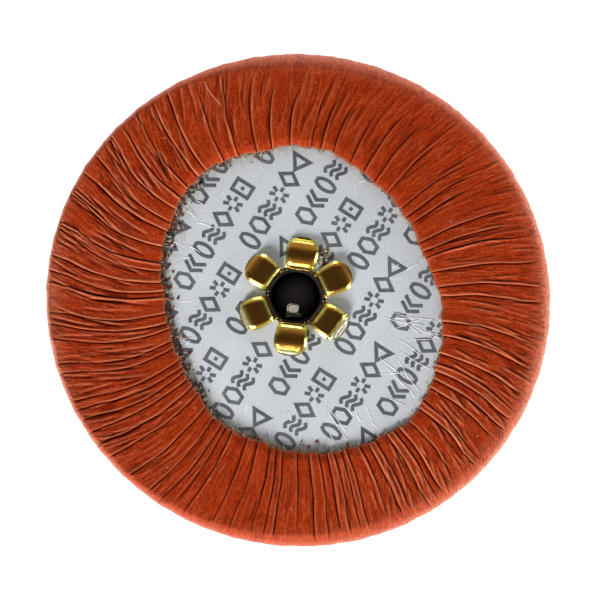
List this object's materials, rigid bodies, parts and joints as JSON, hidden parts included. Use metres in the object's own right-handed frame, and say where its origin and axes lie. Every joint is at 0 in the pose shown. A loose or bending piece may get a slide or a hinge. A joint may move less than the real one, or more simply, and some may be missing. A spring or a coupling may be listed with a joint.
{
  "type": "saxophone key pad",
  "caption": "Leather-covered key pad for a woodwind instrument: pleated back, printed card disc, splayed tubular rivet and a domed resonator on the front.",
  "frame": {"origin": "centre of the gathered back face of the pad, on the pad's axis", "axes": "+Z out of the back, towards the key cup that the pad is glued into; the playing face looks along -Z; +X and +Y lie in the back face"},
  "size_m": [0.032, 0.032, 0.0049],
  "materials": {
    "leather": "matte kid leather",
    "felt": "pressed wool",
    "board": "matte",
    "liner": "matte, printed in grey",
    "glue": "dried glue",
    "rivet": "bright",
    "resonator": "polished",
    "backplate": "satin"
  },
  "bodies": {
    "root": {"leather_skin": "leather", "felt_cushion": "felt", "backing_board": "board", "card_liner": "liner", "glue_bead": "glue", "star_rivet": "rivet", "resonator_dome": "resonator", "resonator_backplate": "backplate"}
  },
  "joints": []
}
